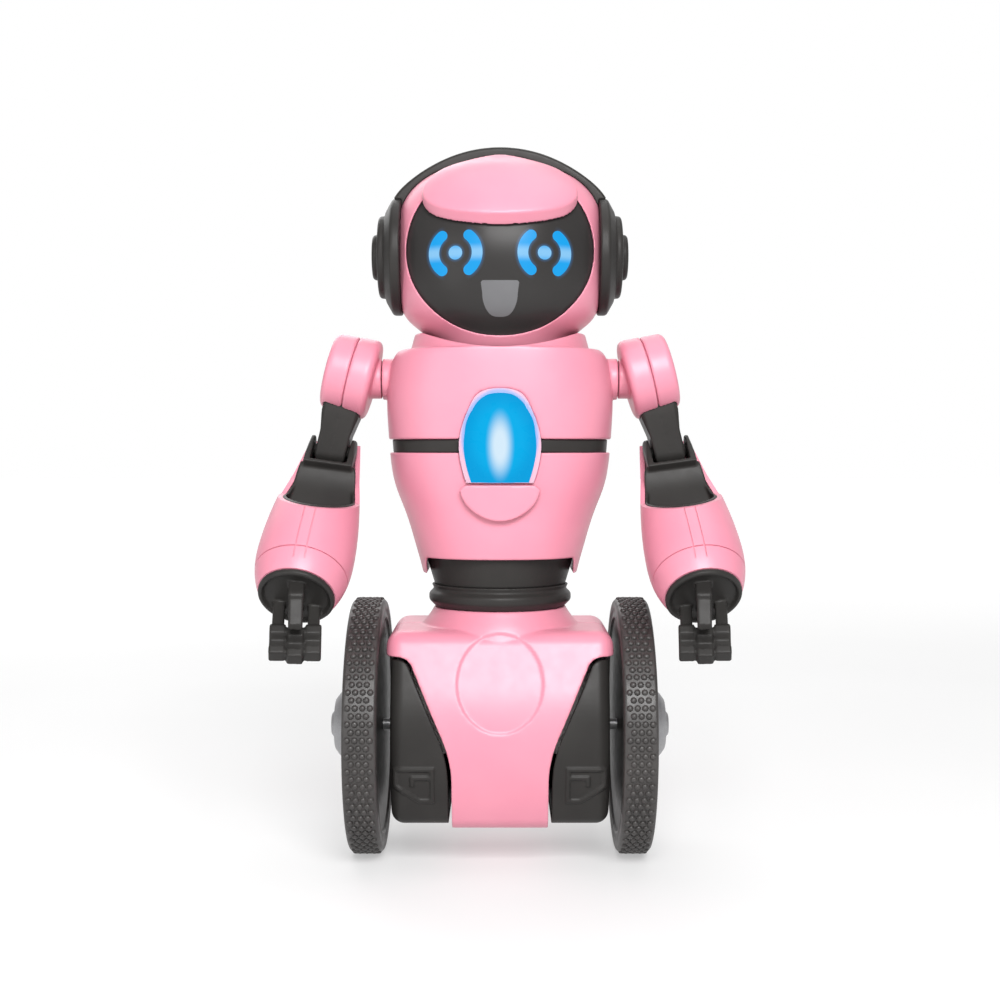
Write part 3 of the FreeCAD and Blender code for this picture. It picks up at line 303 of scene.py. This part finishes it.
def oval_reach(m, centre_z, half_x, half_z):
    """How far out a point lies in an upright oval on the robot's middle: 1 on the oval's rim."""
    x, _, z = split(m)
    across = m.math("DIVIDE", x, half_x)
    up = m.math("DIVIDE", m.math("SUBTRACT", z, centre_z), half_z)
    return length(m, across, up)


# Each eye is a dot between two upright arcs of one circle.
EYE_SPREAD = 14.9 * MM
EYE_RISE = 209.7 * MM
ARC_RADIUS = 7.3 * MM
ARC_GLOW = (1.5 * MM, 3.0 * MM)
ARC_SIDEWAYS = (0.35, 0.75)
DOT_GLOW = (2.0 * MM, 3.4 * MM)
EYE_NEAREST = 0.1 * MM
EYE_PALE_STRETCH = (0.4 * MM, 3.4 * MM)
HALO_BLUE = (0.0, 0.33, 0.85)
HALO_STRENGTH = 0.22


def eye_distance(m):
    """The distance to the nearer eye's centre in the front view, and its sideways share."""
    x, _, z = split(m)
    aside = m.math("SUBTRACT", m.math("ABSOLUTE", x), EYE_SPREAD)
    up = m.math("SUBTRACT", z, EYE_RISE)
    return length(m, aside, up), aside


def visor_black():
    """Smoked gloss with a soft blue halo where the light behind the eyes spills into it."""
    m = Nodes("visor_look")
    m.tint((0.026, 0.0245, 0.024), (0.029, 0.0275, 0.027), 30.0)
    m.gloss(0.3, 0.33, 90.0)
    away, aside = eye_distance(m)
    off_circle = m.math("ABSOLUTE", m.math("SUBTRACT", away, ARC_RADIUS))
    circle_glow = m.span(off_circle, *ARC_GLOW, 1.0, 0.0)
    sideways = m.math("DIVIDE", m.math("ABSOLUTE", aside), m.math("MAXIMUM", away, EYE_NEAREST))
    arc_glow = m.math("MULTIPLY", circle_glow, m.span(sideways, *ARC_SIDEWAYS, 0.0, 1.0))
    dot_glow = m.span(away, *DOT_GLOW, 1.0, 0.0)
    glow = m.math("MAXIMUM", arc_glow, dot_glow)
    m.link(m.math("MULTIPLY", glow, HALO_STRENGTH), m.shader.inputs["Emission Strength"])
    m.set(Specular_IOR_Level=0.14, Emission_Color=(*HALO_BLUE, 1.0))
    return m.material


def eye_glow():
    """Lit blue bars, palest half way up."""
    m = Nodes("eye_look")
    _, _, z = split(m)
    off_middle = m.math("ABSOLUTE", m.math("SUBTRACT", z, EYE_RISE))
    paleness = m.span(off_middle, *EYE_PALE_STRETCH, 0.75, 0.0)
    m.link(m.blend(paleness, (0.012, 0.37, 0.84), (0.36, 0.66, 0.9)), m.shader.inputs["Emission Color"])
    m.gloss(0.3, 0.4, 300.0)
    m.set(Emission_Strength=0.95, Base_Color=(0.0, 0.02, 0.05, 1.0), Specular_IOR_Level=0.15)
    return m.material


# Upright ovals in the chest window: the height of the middle, then half the width and the height.
CORE_OVAL = (145.4 * MM, 4.8 * MM, 12.2 * MM)
LENS_OVAL = (147.5 * MM, 12.2 * MM, 15.8 * MM)
RING_OVAL = (148.0 * MM, 13.7 * MM, 17.3 * MM)


def chest_glow():
    """A lit blue lens with a white oval core."""
    m = Nodes("chest_look")
    to_core = m.span(oval_reach(m, *CORE_OVAL), 0.3, 1.08, 0.95, 0.0)
    to_rim = m.span(oval_reach(m, *LENS_OVAL), 0.55, 1.0, 0.0, 1.0)
    blue = m.blend(to_rim, (0.0, 0.44, 0.86), (0.0, 0.36, 0.76))
    m.link(m.blend(to_core, blue, (0.76, 0.9, 1.0)), m.shader.inputs["Emission Color"])
    m.gloss(0.25, 0.33, 250.0)
    m.set(Emission_Strength=0.94, Base_Color=(0.0, 0.01, 0.02, 1.0), Specular_IOR_Level=0.06)
    return m.material


def bezel_lilac():
    """The translucent ring that the lens shines into."""
    m = Nodes("bezel_look")
    to_edge = m.span(oval_reach(m, *RING_OVAL), 0.9, 0.99, 0.0, 1.0)
    tint = m.blend(to_edge, (0.2, 0.27, 0.5), (0.5, 0.31, 0.4))
    m.link(tint, m.shader.inputs["Emission Color"])
    m.link(tint, m.shader.inputs["Base Color"])
    m.gloss(0.3, 0.4, 250.0)
    m.set(Emission_Strength=0.05)
    return m.material


def circuit_board():
    """Green solder mask, paler where it covers copper."""
    m = Nodes("board_look")
    m.tint((0.02, 0.16, 0.06), (0.03, 0.24, 0.09), 600.0, 0.0, ends=(0.48, 0.52))
    m.gloss(0.3, 0.5, 500.0)
    return m.material


# The floor's own light grows with the distance from the robot.
FLOOR_FADE = (0.2, 1.6)
FLOOR_GLOW = (0.42, 0.83)


def pale_floor():
    """White studio floor, lifted a little with distance so that it meets the room without a line."""
    m = Nodes("floor_look")
    m.tint((0.44, 0.44, 0.44), (0.46, 0.46, 0.46), 3.0)
    away = m.add("ShaderNodeVectorMath", operation="LENGTH")
    m.link(m.place, away.inputs[0])
    m.link(m.span(away.outputs["Value"], *FLOOR_FADE, *FLOOR_GLOW), m.shader.inputs["Emission Strength"])
    m.set(Roughness=0.8, Specular_IOR_Level=0.1, Emission_Color=WHITE)
    return m.material


LOOKS = {
    "pink_shell": moulded_plastic(
        "pink_look", (0.65, 0.235, 0.312), (0.63, 0.22, 0.298), rough=0.42, coat=0.2),
    "black_plastic": moulded_plastic(
        "black_look", (0.023, 0.0215, 0.0205), (0.028, 0.0265, 0.025), rough=0.42, grain=0.12, shine=0.17),
    "white_plastic": moulded_plastic("white_look", (0.75, 0.75, 0.73), (0.7, 0.7, 0.68), rough=0.4),
    "battery_wrap": moulded_plastic("wrap_look", (0.03, 0.12, 0.35), (0.02, 0.1, 0.3), rough=0.25, coat=0.2),
    "mouth_grey": moulded_plastic("mouth_look", (0.115, 0.115, 0.12), (0.1, 0.1, 0.105), rough=0.4),
    "steel": plain_metal(),
    "silver_plastic": silver_plastic(),
    "tyre_rubber": tyre_rubber(),
    "circuit_board": circuit_board(),
    "visor_black": visor_black(),
    "eye_glow": eye_glow(),
    "chest_glow": chest_glow(),
    "bezel_lilac": bezel_lilac(),
}


# ---------------------------------------------------------------- pieces

# How each kind of plastic is softened: the remeshing grid and the number of smoothing passes.
MOULDED = {
    "pink_shell": (0.42 * MM, 6),
    "black_plastic": (0.36 * MM, 4),
    "silver_plastic": (0.35 * MM, 5),
}
SMOOTHING = 0.5
WELD_DISTANCE = 0.001 * MM

# Inner pieces, the small charge socket and the shells whose seams are finer than the grid stay as made.
KEPT_AS_MADE = ("neck_post", "charge_socket", "speaker",
                "forearm_shell_inner_left", "forearm_shell_outer_left",
                "forearm_shell_inner_right", "forearm_shell_outer_right")


def finish_piece(piece, node):
    """Gives a piece the material for its node's slot and puts it in its node's body, and hides the node that
    it stands for.
    """
    slot = SLOT_OF[node]
    piece.data.materials.clear()
    piece.data.materials.append(LOOKS[slot])
    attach(piece, BODY_OF[node])
    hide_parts(node)


def make_moulded(node, grid, passes):
    """The node's own shape with soft moulded edges: remeshed finely and smoothed."""
    mesh = NODES[node].data.copy()
    piece = place_object(node + "_moulded", mesh)
    work = bmesh.new()
    work.from_mesh(mesh)
    bmesh.ops.remove_doubles(work, verts=work.verts, dist=WELD_DISTANCE)
    work.to_mesh(mesh)
    work.free()
    remesh = piece.modifiers.new("remesh", "REMESH")
    remesh.mode = "VOXEL"
    remesh.voxel_size = grid
    smooth = piece.modifiers.new("smooth", "SMOOTH")
    smooth.factor = SMOOTHING
    smooth.iterations = passes
    view = bpy.context.evaluated_depsgraph_get()
    final = bpy.data.meshes.new_from_object(piece.evaluated_get(view))
    piece.modifiers.clear()
    piece.data = final
    final.shade_smooth()
    finish_piece(piece, node)


# ---------------------------------------------------------------- chest window

# Where the window is fuller or slimmer: the height, the spread of heights and the share of the width.
SWELLS = (
    (154.2 * MM, 3.6 * MM, 0.06),
    (161.7 * MM, 1.3 * MM, -0.04),
)
LENS_REACH = 0.7 * MM


def swell_at(z):
    return sum(share * math.exp(-((z - height) / spread) ** 2) for height, spread, share in SWELLS)


def make_rounded(node):
    """The chest lens or its ring with rounder flanks; the ring's outer edge stays in the torso's hole."""
    lens = NODES["chest_lens"].data.vertices
    front_view = KDTree(len(lens))
    for i, vertex in enumerate(lens):
        front_view.insert((vertex.co.x, 0, vertex.co.z), i)
    front_view.balance()
    mesh = NODES[node].data.copy()
    for vertex in mesh.vertices:
        x, _, z = vertex.co
        _, _, distance = front_view.find((x, 0, z))
        if distance < LENS_REACH:
            vertex.co.x = x * (1 + swell_at(z))
    finish_piece(place_object(node + "_rounded", mesh), node)


# ---------------------------------------------------------------- tyres

STUD_ROWS = 106
STUDS_WIDE = 4
STUD_RADIUS = 1.12 * MM
STUD_HEIGHT = 0.85 * MM
STUD_SIDES = 10
STUD_EDGE = 0.45 * MM

# A stud's rings, from its buried foot to its top: shares of its radius and of its height.
STUD_RINGS = ((1.0, -0.5), (1.0, 0.15), (0.86, 0.6), (0.55, 0.9))

TYRE_STEPS = 240
TYRE_DEPTH = 7.5 * MM
CROWN_SHARE = 0.33
CROWN_RISE = 0.05 * MM
CORNER_RADIUS = 1.2 * MM
CORNER_STEPS = 6
CORNER_TURN = math.radians(90)

# The side wall's shallow recess, below the tread, and the bead that stands between it and the bore.
RECESS_TOP = 3.2 * MM
RECESS_SLOPE = 0.4 * MM
RECESS_DEPTH = 0.5 * MM
BEAD_TOP = 1.2 * MM
BEAD_EDGE = 0.7 * MM
BEAD_STEP = 0.1 * MM


def spun(work, profile, centre, steps):
    """Turns a closed profile of (x, radius) pairs about the wheel's axle."""
    rings = []
    for step in range(steps):
        angle = 2 * math.pi * step / steps
        way = Vector((0, math.cos(angle), math.sin(angle)))
        spots = [Vector((x, centre.y, centre.z)) + way * radius for x, radius in profile]
        rings.append([work.verts.new(spot) for spot in spots])
    count = len(profile)
    for step in range(steps):
        here, there = rings[step], rings[(step + 1) % steps]
        for i in range(count):
            j = (i + 1) % count
            work.faces.new((here[i], here[j], there[j], there[i]))


def add_stud(work, foot, out, ahead):
    """A low round stud: foot on the tread, out away from the axle, ahead along the tread."""
    across = Vector((1, 0, 0))
    rings = []
    for share, rise in STUD_RINGS:
        ring = []
        for i in range(STUD_SIDES):
            angle = 2 * math.pi * i / STUD_SIDES
            reach = STUD_RADIUS * share
            spot = foot + across * (reach * math.cos(angle)) + ahead * (reach * math.sin(angle))
            ring.append(work.verts.new(spot + out * (rise * STUD_HEIGHT)))
        rings.append(ring)
    for low, high in zip(rings, rings[1:]):
        for i in range(STUD_SIDES):
            j = (i + 1) % STUD_SIDES
            work.faces.new((low[i], low[j], high[j], high[i]))
    peak = work.verts.new(foot + out * STUD_HEIGHT)
    for i in range(STUD_SIDES):
        work.faces.new((rings[-1][i], rings[-1][(i + 1) % STUD_SIDES], peak))
    work.faces.new(list(reversed(rings[0])))


def tyre_outline(half, tread, bore):
    """The tyre's section as (x, radius) pairs: crown, rounded corner and side wall, then their mirror."""
    corner = []
    for step in range(CORNER_STEPS + 1):
        angle = CORNER_TURN * (1 - step / CORNER_STEPS)
        x = half - CORNER_RADIUS + CORNER_RADIUS * math.cos(angle)
        corner.append((x, tread - CORNER_RADIUS + CORNER_RADIUS * math.sin(angle)))
    wall = [
        (half, tread - RECESS_TOP),
        (half - RECESS_DEPTH, tread - RECESS_TOP - RECESS_SLOPE),
        (half - RECESS_DEPTH, bore + BEAD_TOP),
        (half - BEAD_STEP, bore + BEAD_EDGE),
        (half - BEAD_STEP, bore),
    ]
    right = [(half * CROWN_SHARE, tread + CROWN_RISE)] + corner + wall
    left = [(-x, radius) for x, radius in reversed(right)]
    return right + left


def make_tyre(node):
    """A tyre with a studded tread: rows of four and three round studs in turn."""
    low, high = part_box(node)
    centre = (low + high) / 2
    half = (high.x - low.x) / 2
    outer = (high.z - low.z) / 2
    tread = outer - STUD_HEIGHT
    outline = tyre_outline(half, tread, outer - TYRE_DEPTH)
    work = bmesh.new()
    spun(work, [(centre.x + x, radius) for x, radius in outline], centre, TYRE_STEPS)
    pitch = 2 * (half - CORNER_RADIUS + STUD_EDGE) / STUDS_WIDE
    for row in range(STUD_ROWS):
        angle = 2 * math.pi * row / STUD_ROWS
        out = Vector((0, math.cos(angle), math.sin(angle)))
        ahead = Vector((0, -math.sin(angle), math.cos(angle)))
        count = STUDS_WIDE - row % 2
        for i in range(count):
            aside = (i - (count - 1) / 2) * pitch
            foot = Vector((centre.x + aside, centre.y, centre.z)) + out * tread
            add_stud(work, foot, out, ahead)
    bmesh.ops.recalc_face_normals(work, faces=work.faces)
    mesh = bpy.data.meshes.new(node + "_studded")
    work.to_mesh(mesh)
    work.free()
    mesh.shade_smooth()
    finish_piece(place_object(node + "_studded", mesh), node)


# ---------------------------------------------------------------- the scene

make_camera()
make_lights()
make_world()
make_floor(pale_floor())

for node, obj in NODES.items():
    obj.data.materials.clear()
    obj.data.materials.append(LOOKS[SLOT_OF[node]])

for node in ("tyre_left", "tyre_right"):
    make_tyre(node)

for node in ("chest_lens", "chest_bezel"):
    make_rounded(node)

for node in NODES:
    slot = SLOT_OF[node]
    if slot in MOULDED and node not in KEPT_AS_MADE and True:
        make_moulded(node, *MOULDED[slot])
